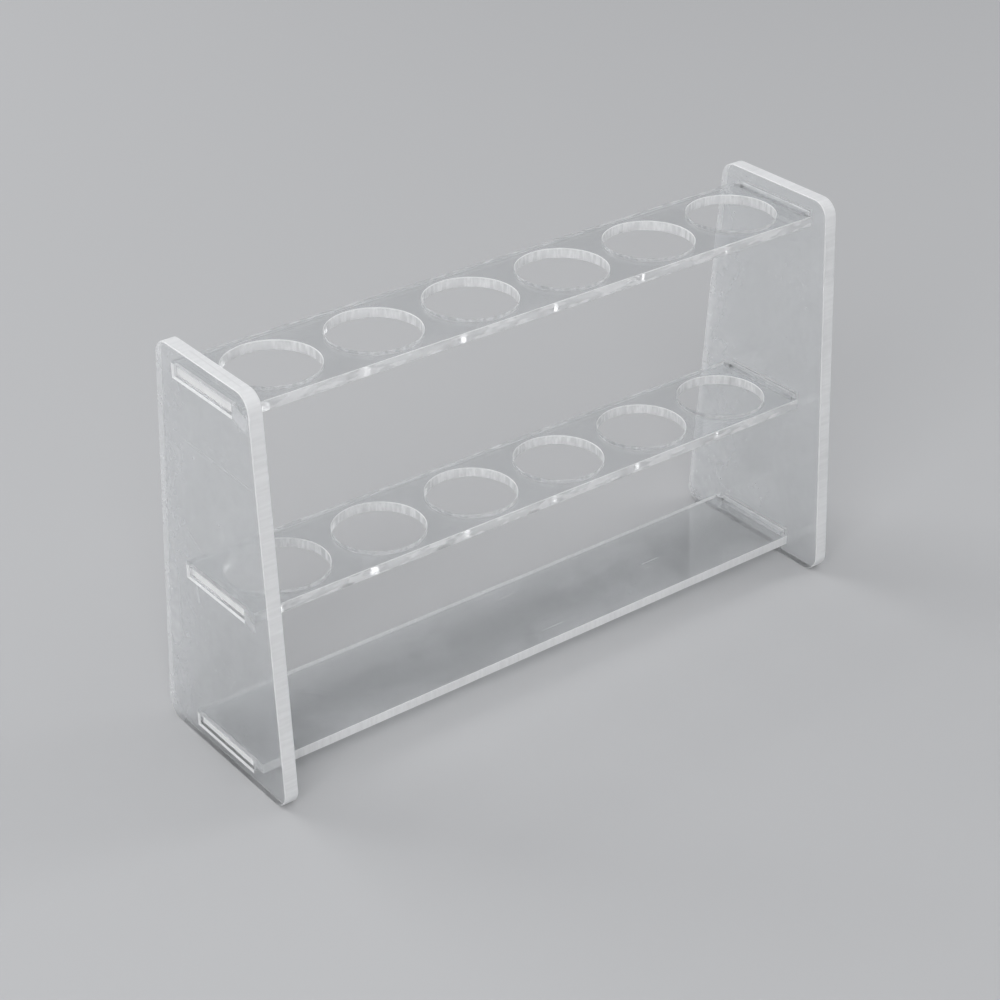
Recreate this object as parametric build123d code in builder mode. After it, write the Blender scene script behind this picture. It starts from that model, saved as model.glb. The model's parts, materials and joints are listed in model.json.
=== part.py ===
from build123d import *
import os
from math import atan2, degrees

# Clear acrylic test tube rack: two end plates held apart by three shelves.
# Millimetres. X runs along the row of tubes, Y from the front to the back, Z upwards.
# The origin is under the middle of the rack, on the surface that it stands on.

# Tube holes, and the strip of sheet left round them
tube_count = 6
hole_diameter = 26.0
hole_web = 5.5  # between one hole and the next
hole_side_margin = 3.35  # from a hole to the shelf's long edge
hole_end_margin = 3.45  # from the last hole to the end plate
hole_rim_break = 0.2

# Shelves
shelf_thickness = 3.0
shelf_edge_break = 0.15
foot_gap = 4.4  # clear height under the bottom shelf
lower_bay_height = 44.8  # clear height between the bottom and middle shelves
top_shelf_drop = 5.4  # from the plates' top edge down to the top shelf

# End plates
plate_height = 120.0
plate_top_width = 43.0
plate_bottom_width = 59.2
plate_thickness = 4.3
plate_corner_radius = 5.2
plate_edge_break = 0.25

# Tenons on the shelf ends, and the slots that take them
tenon_shoulder = 2.85  # step from the shelf's long edge in to the tenon
tenon_recess = 1.3  # from the plate's outer face in to the tenon's end
tenon_lead_in = 0.3  # bevel round the tenon's end, which guides it into the slot
slot_side_clearance = 0.15  # at each side of the tenon
slot_top_clearance = 0.35  # above the tenon, which rests on the slot's floor
slot_rim_bevel = 0.5  # round the slot on the plate's outer face

# Worked out from the sizes above
hole_pitch = hole_diameter + hole_web
shelf_width = hole_diameter + 2 * hole_side_margin
shelf_length = (tube_count - 1) * hole_pitch + hole_diameter + 2 * hole_end_margin
tenon_width = shelf_width - 2 * tenon_shoulder
tenon_length = plate_thickness - tenon_recess
inner_face = shelf_length / 2
outer_face = inner_face + plate_thickness
slot_width = tenon_width + 2 * slot_side_clearance
slot_height = shelf_thickness + slot_top_clearance
bottom_shelf_underside = foot_gap
middle_shelf_underside = foot_gap + shelf_thickness + lower_bay_height
top_shelf_underside = plate_height - top_shelf_drop - shelf_thickness
plate_side_angle = degrees(atan2(plate_height, (plate_bottom_width - plate_top_width) / 2))


# A strip of sheet with a tenon at each end, cut to its outline and then eased along its edges
def shelf(underside, bored):
    with BuildPart() as strip:
        with BuildSketch(Plane.XY.offset(underside)):
            Rectangle(shelf_length, shelf_width)
            Rectangle(shelf_length + 2 * tenon_length, tenon_width)
            if bored:
                with GridLocations(hole_pitch, 0, tube_count, 1):
                    Circle(hole_diameter / 2, mode=Mode.SUBTRACT)
        extrude(amount=shelf_thickness)
        long_edges = strip.edges().filter_by(Axis.X).group_by(SortBy.LENGTH)[-1]
        chamfer(long_edges, length=shelf_edge_break)
        tenon_ends = strip.faces().group_by(Axis.X)[0] + strip.faces().group_by(Axis.X)[-1]
        chamfer(tenon_ends.edges(), length=tenon_lead_in)
        if bored:
            hole_rims = strip.edges().filter_by(GeomType.CIRCLE)
            chamfer(hole_rims, length=hole_rim_break)
    return strip


# The plate at the left end, lying in the YZ plane with its outer face towards -X
with BuildPart() as left_end_plate:
    with BuildSketch(Plane.YZ.offset(-outer_face)) as plate_outline:
        Trapezoid(plate_bottom_width, plate_height, plate_side_angle, align=(Align.CENTER, Align.MIN))
        fillet(plate_outline.vertices(), radius=plate_corner_radius)
    extrude(amount=plate_thickness)
    outer_rim = left_end_plate.faces().sort_by(Axis.X)[0].outer_wire().edges()
    inner_rim = left_end_plate.faces().sort_by(Axis.X)[-1].outer_wire().edges()
    chamfer(outer_rim + inner_rim, length=plate_edge_break)
    with BuildSketch(Plane.YZ.offset(-outer_face)):
        for underside in (bottom_shelf_underside, middle_shelf_underside, top_shelf_underside):
            with Locations((0, underside)):
                Rectangle(slot_width, slot_height, align=(Align.CENTER, Align.MIN))
    extrude(amount=plate_thickness, mode=Mode.SUBTRACT)
    slot_rims = left_end_plate.faces().sort_by(Axis.X)[0].inner_wires().edges()
    chamfer(slot_rims, length=slot_rim_bevel)

# The same plate turned to face the other way
with BuildPart() as right_end_plate:
    mirror(left_end_plate.part, about=Plane.YZ)

bottom_shelf = shelf(bottom_shelf_underside, bored=False)
middle_shelf = shelf(middle_shelf_underside, bored=True)
top_shelf = shelf(top_shelf_underside, bored=True)

left_end_plate.part.label = "left_end_plate"
right_end_plate.part.label = "right_end_plate"
bottom_shelf.part.label = "bottom_shelf"
middle_shelf.part.label = "middle_shelf"
top_shelf.part.label = "top_shelf"

os.makedirs("parts", exist_ok=True)
export_step(left_end_plate.part, "parts/left_end_plate.step")
export_step(right_end_plate.part, "parts/right_end_plate.step")
export_step(bottom_shelf.part, "parts/bottom_shelf.step")
export_step(middle_shelf.part, "parts/middle_shelf.step")
export_step(top_shelf.part, "parts/top_shelf.step")
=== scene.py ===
import json
import math

import bmesh
import bpy
from mathutils import Matrix, Vector


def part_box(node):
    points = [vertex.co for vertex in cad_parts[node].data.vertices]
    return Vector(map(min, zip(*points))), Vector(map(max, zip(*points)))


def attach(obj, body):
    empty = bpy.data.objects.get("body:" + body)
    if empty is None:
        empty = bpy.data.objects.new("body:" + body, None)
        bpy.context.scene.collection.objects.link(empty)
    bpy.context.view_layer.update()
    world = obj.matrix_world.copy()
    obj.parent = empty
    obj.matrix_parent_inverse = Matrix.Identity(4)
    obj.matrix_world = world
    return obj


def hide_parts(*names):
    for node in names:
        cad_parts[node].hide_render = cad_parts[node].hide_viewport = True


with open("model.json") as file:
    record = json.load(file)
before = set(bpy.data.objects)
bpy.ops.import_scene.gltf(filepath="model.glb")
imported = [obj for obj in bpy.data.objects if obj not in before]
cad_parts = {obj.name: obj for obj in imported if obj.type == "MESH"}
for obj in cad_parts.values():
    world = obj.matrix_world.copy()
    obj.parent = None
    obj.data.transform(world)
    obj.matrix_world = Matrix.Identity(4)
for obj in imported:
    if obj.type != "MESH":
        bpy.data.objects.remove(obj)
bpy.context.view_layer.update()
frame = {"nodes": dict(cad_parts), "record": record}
nodes = frame["nodes"]
mounts = {mount["name"]: mount for mount in frame["record"]["mounts"]}
print("frame loaded:", ", ".join(sorted(nodes)))


# Shader helpers

class Wire:
    # One output socket. Python arithmetic on it adds the Math nodes.
    def __init__(self, graph, socket):
        self.graph = graph
        self.socket = socket

    def __add__(self, other):
        return self.graph.maths("ADD", self, other)

    __radd__ = __add__

    def __mul__(self, other):
        return self.graph.maths("MULTIPLY", self, other)

    __rmul__ = __mul__

    def __sub__(self, other):
        return self.graph.maths("SUBTRACT", self, other)

    def __rsub__(self, other):
        return self.graph.maths("SUBTRACT", other, self)

    def __truediv__(self, other):
        return self.graph.maths("DIVIDE", self, other)


class Graph:
    def __init__(self, owner):
        self.tree = owner.node_tree
        self.tree.nodes.clear()

    def add(self, kind, settings=None, inputs=None):
        node = self.tree.nodes.new(kind)
        for name, value in (settings or {}).items():
            setattr(node, name, value)
        for key, value in (inputs or {}).items():
            if isinstance(key, int):
                socket = node.inputs[key]
            else:
                socket = next(s for s in node.inputs if s.enabled and s.name == key)
            if isinstance(value, Wire):
                self.tree.links.new(value.socket, socket)
            else:
                socket.default_value = value
        return node

    def wire(self, node, output=0):
        return Wire(self, node.outputs[output])

    def maths(self, operation, *values):
        return self.wire(self.add("ShaderNodeMath", {"operation": operation}, dict(enumerate(values))))

    def noise(self, vector, scale, detail=2.0, roughness=0.5):
        inputs = {"Vector": vector, "Scale": scale, "Detail": detail, "Roughness": roughness}
        return self.wire(self.add("ShaderNodeTexNoise", None, inputs), "Fac")

    def stretch(self, vector, scale, turn=(0.0, 0.0, 0.0)):
        inputs = {"Vector": vector, "Scale": scale, "Rotation": turn}
        return self.wire(self.add("ShaderNodeMapping", None, inputs))

    def step(self, value, low, high):
        # 0 below low, 1 above high, with a smooth change between them
        settings = {"interpolation_type": "SMOOTHSTEP"}
        inputs = {"Value": value, "From Min": low, "From Max": high}
        return self.wire(self.add("ShaderNodeMapRange", settings, inputs))

    def blend(self, factor, first, second):
        # Mixes two colours
        settings = {"data_type": "RGBA"}
        mix = self.add("ShaderNodeMix", settings, {"Factor": factor, "A": first, "B": second})
        return Wire(self, next(s for s in mix.outputs if s.enabled))

    def bump(self, height, strength, distance):
        inputs = {"Height": height, "Strength": strength, "Distance": distance}
        return self.wire(self.add("ShaderNodeBump", None, inputs))

    def place(self):
        return self.wire(self.add("ShaderNodeTexCoord"), "Object")

    def axes(self, vector):
        split = self.add("ShaderNodeSeparateXYZ", None, {"Vector": vector})
        return [self.wire(split, axis) for axis in ("X", "Y", "Z")]

    def finish(self, shader):
        self.add("ShaderNodeOutputMaterial", None, {"Surface": shader})


def newMaterial(name):
    material = bpy.data.materials.new(name)
    material.use_nodes = True
    return material


# Where the joints lie, read from the record's mounts and the solids

tubeMounts = [mounts[name] for name in sorted(mounts) if name.startswith("tube_")]
tubeX = [mount["pos_m"][0] for mount in tubeMounts]
boreRadius = tubeMounts[0]["dims"]["r_mm"] / 1000
tubePitch = tubeX[1] - tubeX[0]
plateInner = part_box("right_end_plate")[0].x
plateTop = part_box("right_end_plate")[1].z
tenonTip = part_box("top_shelf")[1].x


# Finishes of the acrylic

acrylic = {
    "ior": 1.49,
    "tint": (0.955, 0.967, 0.972, 1.0),
    "dustColour": (0.85, 0.86, 0.875, 1.0),
    "dust": 0.07,  # share of white where a speck lies
    "waviness": 0.00012,  # height of the sheet's slow ripples
}

faceWear = {
    "plate": {"roughness": 0.09, "haze": 0.08, "smudge": 0.20, "scratch": 0.25},
    "bored": {"roughness": 0.02, "haze": 0.045, "smudge": 0.20, "scratch": 0.25},
    "bottom": {"roughness": 0.05, "haze": 0.13, "smudge": 0.18, "scratch": 0.30},
}

# Fine broken scratches, in two directions
hairLines = {
    "along": 26.0,  # noise per metre
    "across": 1500.0,
    "edge": 0.02,
    "first": {"turn": (0.0, 0.5, 0.55), "level": 0.735},
    "second": {"turn": (0.3, -0.9, -0.35), "level": 0.745},
}

# The milky band at the back of the plates: where it starts and is full, in y
milkyBand = {"start": 0.010, "full": 0.034, "drift": 0.018, "white": 0.16}

# Marks on the left plate's outer face: from (y, z), to (y, z), half width, strength
plateMarks = {
    "scratch": ((0.0095, 0.0951), (-0.0208, 0.0943), 0.00022, 0.36),
    "shortScratch": ((0.0120, 0.0670), (0.0035, 0.0625), 0.00015, 0.28),
    "cementSmear": ((-0.0150, 0.1135), (-0.0190, 0.1120), 0.0034, 0.48),
    "middleSmear": ((-0.0150, 0.0540), (-0.0175, 0.0525), 0.0026, 0.48),
    "drip": ((0.0093, 0.0510), (0.0087, 0.0465), 0.0007, 0.40),
    "rubbedCorner": ((0.0215, 0.0500), (0.0225, 0.0290), 0.0040, 0.20),
}

frosted = {
    "colour": (0.90, 0.905, 0.91, 1.0),
    "throughFront": 0.22,  # share of the light that comes from behind, seen from outside
    "throughBack": 0.80,  # and seen from inside the sheet
}


def frostedWhite(
    graph, colour, roughness, normal, front=frosted["throughFront"], back=frosted["throughBack"]
):
    # Matt white that glows with the light behind it, most of all when seen from inside the sheet
    matt = graph.add("ShaderNodeBsdfPrincipled", None, {
        "Base Color": colour,
        "IOR": acrylic["ior"],
        "Roughness": roughness,
        "Normal": normal,
    })
    glow = graph.add("ShaderNodeBsdfTranslucent", None, {"Color": colour})
    inside = graph.wire(graph.add("ShaderNodeNewGeometry"), "Backfacing")
    return graph.wire(graph.add("ShaderNodeMixShader", None, {
        0: front + inside * (back - front), 1: graph.wire(matt), 2: graph.wire(glow),
    }))


def fineScratches(graph, place, values):
    # Thin broken lines: a noise stretched along one direction, cut to its narrow crests
    scale = (hairLines["along"], hairLines["across"], hairLines["across"])
    lines = graph.noise(graph.stretch(place, scale, values["turn"]), 1.0, 1.0)
    breaks = graph.noise(place, 60.0)
    level = values["level"]
    return graph.step(lines, level, level + hairLines["edge"]) * graph.step(breaks, 0.56, 0.64)


def stroke(graph, across, up, start, end, halfWidth):
    # 1 along a straight line on a face, 0 away from it
    run = Vector(end) - Vector(start)
    along = ((across - start[0]) * run.x + (up - start[1]) * run.y) / run.length_squared
    along = graph.maths("MINIMUM", graph.maths("MAXIMUM", along, 0.0), 1.0)
    offAcross = across - (along * run.x + start[0])
    offUp = up - (along * run.y + start[1])
    distance = graph.maths("SQRT", offAcross * offAcross + offUp * offUp)
    return 1.0 - graph.step(distance, halfWidth * 0.3, halfWidth)


def plateWear(graph, place):
    # Milky towards the back edge, with the marks above on the left plate's outer face
    x, y, z = graph.axes(place)
    cloud = graph.noise(place, 55.0, 3.0, 0.6)
    reach = y + cloud * milkyBand["drift"]
    share = graph.step(reach, milkyBand["start"], milkyBand["full"]) * milkyBand["white"]
    outside = graph.step(x * -1.0, tenonTip, tenonTip + 0.0002)
    for start, end, halfWidth, strength in plateMarks.values():
        mark = stroke(graph, y, z, start, end, halfWidth) * graph.step(cloud, 0.25, 0.6)
        share = share + mark * outside * strength
    return share


def jointCement(graph, place):
    # Solvent cement whitens the part of the tenon inside the plate, and creeps a little way out
    x = graph.axes(place)[0]
    creep = graph.noise(place, 420.0, 3.0, 0.6)
    reach = graph.maths("ABSOLUTE", x) + creep * 0.0011
    mottle = graph.noise(place, 900.0, 2.0)
    return graph.step(reach, plateInner + 0.0003, plateInner + 0.0006) * (0.45 + mottle * 0.55)


def clearSheet(name, wear, marks):
    # A face of the sheet: glassy, with dust, finger smudges and hair-thin scratches
    material = newMaterial(name)
    graph = Graph(material)
    place = graph.place()
    smudge = graph.step(graph.noise(place, 34.0, 4.0, 0.62), 0.46, 0.72)
    patches = graph.step(graph.noise(place, 90.0, 3.0, 0.55), 0.45, 0.75)
    dust = graph.step(graph.noise(place, 900.0, 1.0), 0.66, 0.74)
    scratches = fineScratches(graph, place, hairLines["first"])
    scratches = scratches + fineScratches(graph, place, hairLines["second"])
    roughness = wear["roughness"] + smudge * 0.05 + scratches * 0.2
    waviness = graph.noise(place, 16.0, 1.0)
    normal = graph.bump(waviness, 0.3, acrylic["waviness"])
    clear = graph.add("ShaderNodeBsdfPrincipled", None, {
        "Base Color": acrylic["tint"],
        "Transmission Weight": 1.0,
        "IOR": acrylic["ior"],
        "Roughness": roughness,
        "Normal": normal,
    })
    marked = marks(graph, place)
    # Thick marks let no light through
    through = (1.0 - graph.step(marked, 0.25, 0.45)) * frosted["throughBack"]
    dusty = frostedWhite(graph, acrylic["dustColour"], 0.6, normal, back=through)
    share = wear["haze"] + (smudge * 0.6 + patches * 0.4) * wear["smudge"] + dust * acrylic["dust"]
    share = share + scratches * wear["scratch"] + marked
    graph.finish(graph.wire(graph.add("ShaderNodeMixShader", None, {
        0: share, 1: graph.wire(clear), 2: dusty,
    })))
    return material


sawn = {
    "roughness": 0.50,
    "markPitch": 0.0009,  # between saw marks
}

# Painted shade: a faint dark line along the middle of the left plate's top edge, where the slot below
# shows through: from (x, y), to (x, y)
paintedSlotShade = {"start": (-0.09698, 0.0085), "end": (-0.09738, -0.0158), "halfWidth": 0.00024}


def sawnEdge(name, across, paintedLight=1.0, front=frosted["throughFront"], paintsSlotShade=False):
    # A cut edge, matt and white, with fine saw marks that run across the sheet's thickness
    material = newMaterial(name)
    graph = Graph(material)
    place = graph.place()
    fine = 1.0 / sawn["markPitch"]
    scales = [fine, fine, fine]
    scales[across] = fine * 0.06
    marks = graph.noise(graph.stretch(place, scales), 1.0, 3.0, 0.6)
    cloud = graph.noise(place, 70.0, 3.0)
    shade = graph.step(marks * 0.6 + cloud * 0.4, 0.25, 0.75)
    # Painted shade: a dark line along the left plate's top edge, standing in for the slot seen through
    # it
    if paintsSlotShade:
        x, y, z = graph.axes(place)
        line = stroke(graph, x, y, paintedSlotShade["start"], paintedSlotShade["end"], paintedSlotShade["halfWidth"])
        shade = shade - line * graph.step(z, plateTop - 0.0005, plateTop - 0.0002) * 4.5
    # A factor above 1 paints light: the colour is made whiter so that the edge looks more brightly lit
    low = tuple(channel * 0.90 * paintedLight for channel in frosted["colour"][:3]) + (1.0,)
    high = tuple(min(channel * 1.03 * paintedLight, 0.95) for channel in frosted["colour"][:3]) + (1.0,)
    colour = graph.blend(shade, low, high)
    roughness = sawn["roughness"] + marks * 0.16
    normal = graph.bump(marks, 0.35, 0.00006)
    graph.finish(frostedWhite(graph, colour, roughness, normal, front))
    return material


def whitened(name, values, share, glows=True):
    # Clear acrylic partly turned white. The share of white comes from a function of the place.
    material = newMaterial(name)
    graph = Graph(material)
    place = graph.place()
    mottle = graph.noise(place, 700.0, 3.0, 0.6)
    normal = graph.bump(mottle, values["ripple"], 0.0001)
    clear = graph.add("ShaderNodeBsdfPrincipled", None, {
        "Base Color": acrylic["tint"],
        "Transmission Weight": 1.0,
        "IOR": acrylic["ior"],
        "Roughness": values["roughness"],
        "Normal": normal,
    })
    if glows:
        white = frostedWhite(graph, frosted["colour"], 0.45, normal)
    else:
        white = graph.wire(graph.add("ShaderNodeBsdfPrincipled", None, {
            "Base Color": frosted["colour"],
            "Roughness": 0.45,
        }))
    graph.finish(graph.wire(graph.add("ShaderNodeMixShader", None, {
        0: share(graph, place), 1: graph.wire(clear), 2: white,
    })))
    return material


bored = {
    "roughness": 0.10,
    "ripple": 0.15,
    "stripesAround": 7.36,
    "white": 0.58,
    "whiteStripes": 0.40,
}
polished = {"roughness": 0.05, "ripple": 0.06, "white": 0.44, "whiteDashes": 0.34}
eased = {"roughness": 0.20, "ripple": 0.30, "white": 0.75, "whiteMottle": 0.25}
slot = {"roughness": 0.12, "ripple": 0.30, "whiteHeld": 0.90, "whiteOpen": 0.10}


def boreStripes(graph, place):
    # The cutter's fine stripes down the wall of each hole, some clearer than others
    x, y, z = graph.axes(place)
    nearX = graph.maths("WRAP", x - tubeX[0], tubePitch / 2, -tubePitch / 2)
    angle = graph.maths("ARCTAN2", y, nearX)
    around = graph.wire(graph.add("ShaderNodeCombineXYZ", None, {
        "X": angle * bored["stripesAround"], "Y": z * 120.0, "Z": x * 3.0,
    }))
    stripes = graph.noise(around, 3.0, 3.0, 0.55)
    patches = graph.step(graph.noise(around, 0.8, 2.0), 0.40, 0.62)
    return bored["white"] + stripes * patches * bored["whiteStripes"]


def polishedShare(graph, place):
    # A flame-polished long edge: about half clear, with whiter dashes where the saw had marked it
    x, y, z = graph.axes(place)
    along = graph.wire(graph.add("ShaderNodeCombineXYZ", None, {
        "X": x * 150.0, "Y": z * 420.0, "Z": y * 40.0,
    }))
    dashes = graph.step(graph.noise(along, 1.0, 1.0), 0.46, 0.62)
    return polished["white"] + dashes * polished["whiteDashes"]


def easedShare(graph, place):
    # The bevels are white all along, with a little mottle
    return eased["white"] + graph.noise(place, 300.0, 2.0) * eased["whiteMottle"]


def slotShare(graph, place):
    # White where the cement holds the tenon, clear in the open end of the slot
    x = graph.axes(place)[0]
    depth = graph.maths("ABSOLUTE", x) + graph.noise(place, 500.0, 2.0) * 0.0004
    opened = graph.step(depth, tenonTip, tenonTip + 0.0004)
    return slot["whiteHeld"] - opened * (slot["whiteHeld"] - slot["whiteOpen"])


finishes = {
    "plateFace": clearSheet("plate_face", faceWear["plate"], plateWear),
    "boredFace": clearSheet("bored_shelf_face", faceWear["bored"], jointCement),
    "bottomFace": clearSheet("bottom_shelf_face", faceWear["bottom"], jointCement),
    "polishedEdge": whitened("polished_edge", polished, polishedShare),
    "plateEdge": sawnEdge("plate_edge", 0, paintsSlotShade=True),
    "sawnShelfEdge": sawnEdge("sawn_shelf_edge", 2),
    # Painted light: the tenon ends are coloured a little whiter than the other sawn edges, to look
    # more brightly lit
    "tenonEnd": sawnEdge("tenon_end", 2, paintedLight=1.06, front=0.0),
    "boreWall": whitened("bore_wall", bored, boreStripes),
    "easedEdge": whitened("eased_edge", eased, easedShare),
    "slotWall": whitened("slot_wall", slot, slotShare, glows=False),
}
print("finishes made:", len(finishes))


# Pieces: merged, smooth copies of the solids, with each face given its own finish

joint = {
    "airGap": 0.00002,  # left between faces that touch, so that light sees two surfaces
    "touching": 1e-6,
    "flat": 0.99,  # a face's normal along an axis, at the least
    "eased": 0.3,  # the same for a bevel
    "smoothBelow": 28.0,  # degrees
    "slotRim": 0.001,  # round a slot, past the shelf in it
    "slotTop": 0.0015,  # above it
    "boreRim": 0.0004,  # past a bore's radius
}


def mergedCopy(node):
    bm = bmesh.new()
    bm.from_mesh(nodes[node].data)
    bmesh.ops.remove_doubles(bm, verts=bm.verts, dist=joint["touching"])
    bmesh.ops.recalc_face_normals(bm, faces=bm.faces)
    for face in bm.faces:
        face.smooth = True
    for edge in bm.edges:
        edge.smooth = edge.calc_face_angle() < math.radians(joint["smoothBelow"])
    return bm


def clearPiece(bm, node, names, choose):
    # Gives each face the finish that choose names, and stands the new piece for the node
    for face in bm.faces:
        face.material_index = names.index(choose(face))
    mesh = bpy.data.meshes.new(f"{node}_clear")
    bm.to_mesh(mesh)
    bm.free()
    mesh.attributes.remove(mesh.attributes["custom_normal"])  # it belonged to the loose triangles
    for name in names:
        mesh.materials.append(finishes[name])
    piece = bpy.data.objects.new(f"{node}_clear", mesh)
    bpy.context.scene.collection.objects.link(piece)
    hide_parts(node)
    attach(piece, "root")


def onSlotFloor(vert, shelves):
    return any(abs(vert.co.z - box[0].z) < joint["touching"] for box in shelves)


def makePlate(node):
    bm = mergedCopy(node)
    side = 1.0 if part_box(node)[0].x > 0 else -1.0
    shelves = [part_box(name) for name in ("bottom_shelf", "middle_shelf", "top_shelf")]
    slotHalf = max(abs(vert.co.y) for vert in bm.verts if onSlotFloor(vert, shelves))
    for vert in bm.verts:
        if onSlotFloor(vert, shelves):
            vert.co.z -= joint["airGap"]
        if abs(abs(vert.co.x) - plateInner) < joint["touching"]:
            vert.co.x += side * joint["airGap"]

    def choose(face):
        centre = face.calc_center_median()
        if abs(face.normal.x) > joint["flat"]:
            return "plateFace"
        if abs(face.normal.x) > joint["eased"]:
            return "easedEdge"
        inSlot = abs(centre.y) < slotHalf + joint["slotRim"] and any(
            box[0].z - joint["slotRim"] < centre.z < box[1].z + joint["slotTop"] for box in shelves
        )
        return "slotWall" if inSlot else "plateEdge"

    clearPiece(bm, node, ["plateFace", "plateEdge", "slotWall", "easedEdge"], choose)


def makeShelf(node, face, longEdge):
    bm = mergedCopy(node)
    isBored = node != "bottom_shelf"

    def choose(part):
        centre = part.calc_center_median()
        if abs(part.normal.z) > joint["flat"]:
            return face
        if abs(centre.x) > plateInner - joint["airGap"] / 2:
            return "tenonEnd"
        if abs(part.normal.z) > joint["eased"]:
            return "easedEdge"
        nearest = min(math.hypot(centre.x - x, centre.y) for x in tubeX)
        return "boreWall" if isBored and nearest < boreRadius + joint["boreRim"] else longEdge

    clearPiece(bm, node, [face, longEdge, "tenonEnd", "boreWall", "easedEdge"], choose)


for plateNode in ("left_end_plate", "right_end_plate"):
    makePlate(plateNode)
for shelfNode in ("middle_shelf", "top_shelf"):
    makeShelf(shelfNode, "boredFace", "polishedEdge")
makeShelf("bottom_shelf", "bottomFace", "sawnShelfEdge")
print("acrylic pieces made")


# Floor, light and camera

studio = {
    "floorColour": (0.50, 0.503, 0.51, 1.0),
    "floorRadius": 9.0,
    "floorDrop": 0.00004,  # below the feet, so that the two surfaces don't coincide
    "horizonColour": (0.45, 0.453, 0.46, 1.0),
    "wallColour": (0.20, 0.203, 0.21, 1.0),
    "zenithColour": (0.85, 0.86, 0.88, 1.0),
    "wallRise": (0.02, 0.28),  # heights between which the horizon turns into the wall
    "zenithRise": (0.50, 0.90),
    "lampsAim": (0.0, 0.0, 0.05),
}


def makeFloor():
    bm = bmesh.new()
    bmesh.ops.create_circle(
        bm, cap_ends=True, radius=studio["floorRadius"], segments=96,
        matrix=Matrix.Translation((0, 0, -studio["floorDrop"])),
    )
    mesh = bpy.data.meshes.new("floor")
    bm.to_mesh(mesh)
    bm.free()
    material = newMaterial("floor_paint")
    graph = Graph(material)
    graph.finish(graph.wire(graph.add("ShaderNodeBsdfPrincipled", None, {
        "Base Color": studio["floorColour"], "Roughness": 0.9, "Specular IOR Level": 0.1,
    })))
    mesh.materials.append(material)
    floor = bpy.data.objects.new("floor", mesh)
    bpy.context.scene.collection.objects.link(floor)


def makeWorld():
    world = bpy.data.worlds.new("soft_room")
    bpy.context.scene.world = world
    world.use_nodes = True
    graph = Graph(world)
    place = graph.wire(graph.add("ShaderNodeTexCoord"), "Generated")
    height = graph.axes(place)[2]
    wallShare = graph.step(height, *studio["wallRise"])
    wall = graph.blend(wallShare, studio["horizonColour"], studio["wallColour"])
    colour = graph.blend(graph.step(height, *studio["zenithRise"]), wall, studio["zenithColour"])
    background = graph.add("ShaderNodeBackground", None, {"Color": colour, "Strength": 1.0})
    graph.add("ShaderNodeOutputWorld", None, {"Surface": graph.wire(background)})


lamps = {
    "key": {"place": (-0.95, -0.85, 0.80), "size": (1.1, 0.9), "power": 11.0},
    "back": {"place": (-0.45, 1.15, 0.80), "size": (0.9, 0.6), "power": 6.5},
    "side": {"place": (1.15, -0.35, 0.70), "size": (0.5, 0.9), "power": 3.0},
}


def aimed(place, target, roll=0.0):
    look = (Vector(target) - Vector(place)).normalized()
    turn = look.to_track_quat("-Z", "Y").to_matrix().to_4x4()
    return Matrix.Translation(place) @ turn @ Matrix.Rotation(math.radians(roll), 4, "Z")


def makeLamps():
    for name, values in lamps.items():
        light = bpy.data.lights.new(name, "AREA")
        light.shape = "RECTANGLE"
        light.size, light.size_y = values["size"]
        light.energy = values["power"]
        lamp = bpy.data.objects.new(name, light)
        lamp.matrix_world = aimed(values["place"], studio["lampsAim"])
        bpy.context.scene.collection.objects.link(lamp)


view = {
    "place": (-0.35010, -0.43983, 0.37384),
    "target": (-0.00545, 0.0, 0.04851),
    "roll": 0.247,  # degrees, the photograph leans a little
    "lens": 82.15,
}


def makeCamera():
    data = bpy.data.cameras.new("camera")
    data.lens = view["lens"]
    data.sensor_width = 36.0
    data.clip_start = 0.01
    camera = bpy.data.objects.new("camera", data)
    camera.matrix_world = aimed(view["place"], view["target"], view["roll"])
    bpy.context.scene.collection.objects.link(camera)
    bpy.context.scene.camera = camera


makeFloor()
makeWorld()
makeLamps()
makeCamera()
scene = bpy.context.scene
scene.view_settings.view_transform = "Standard"
print("studio ready")
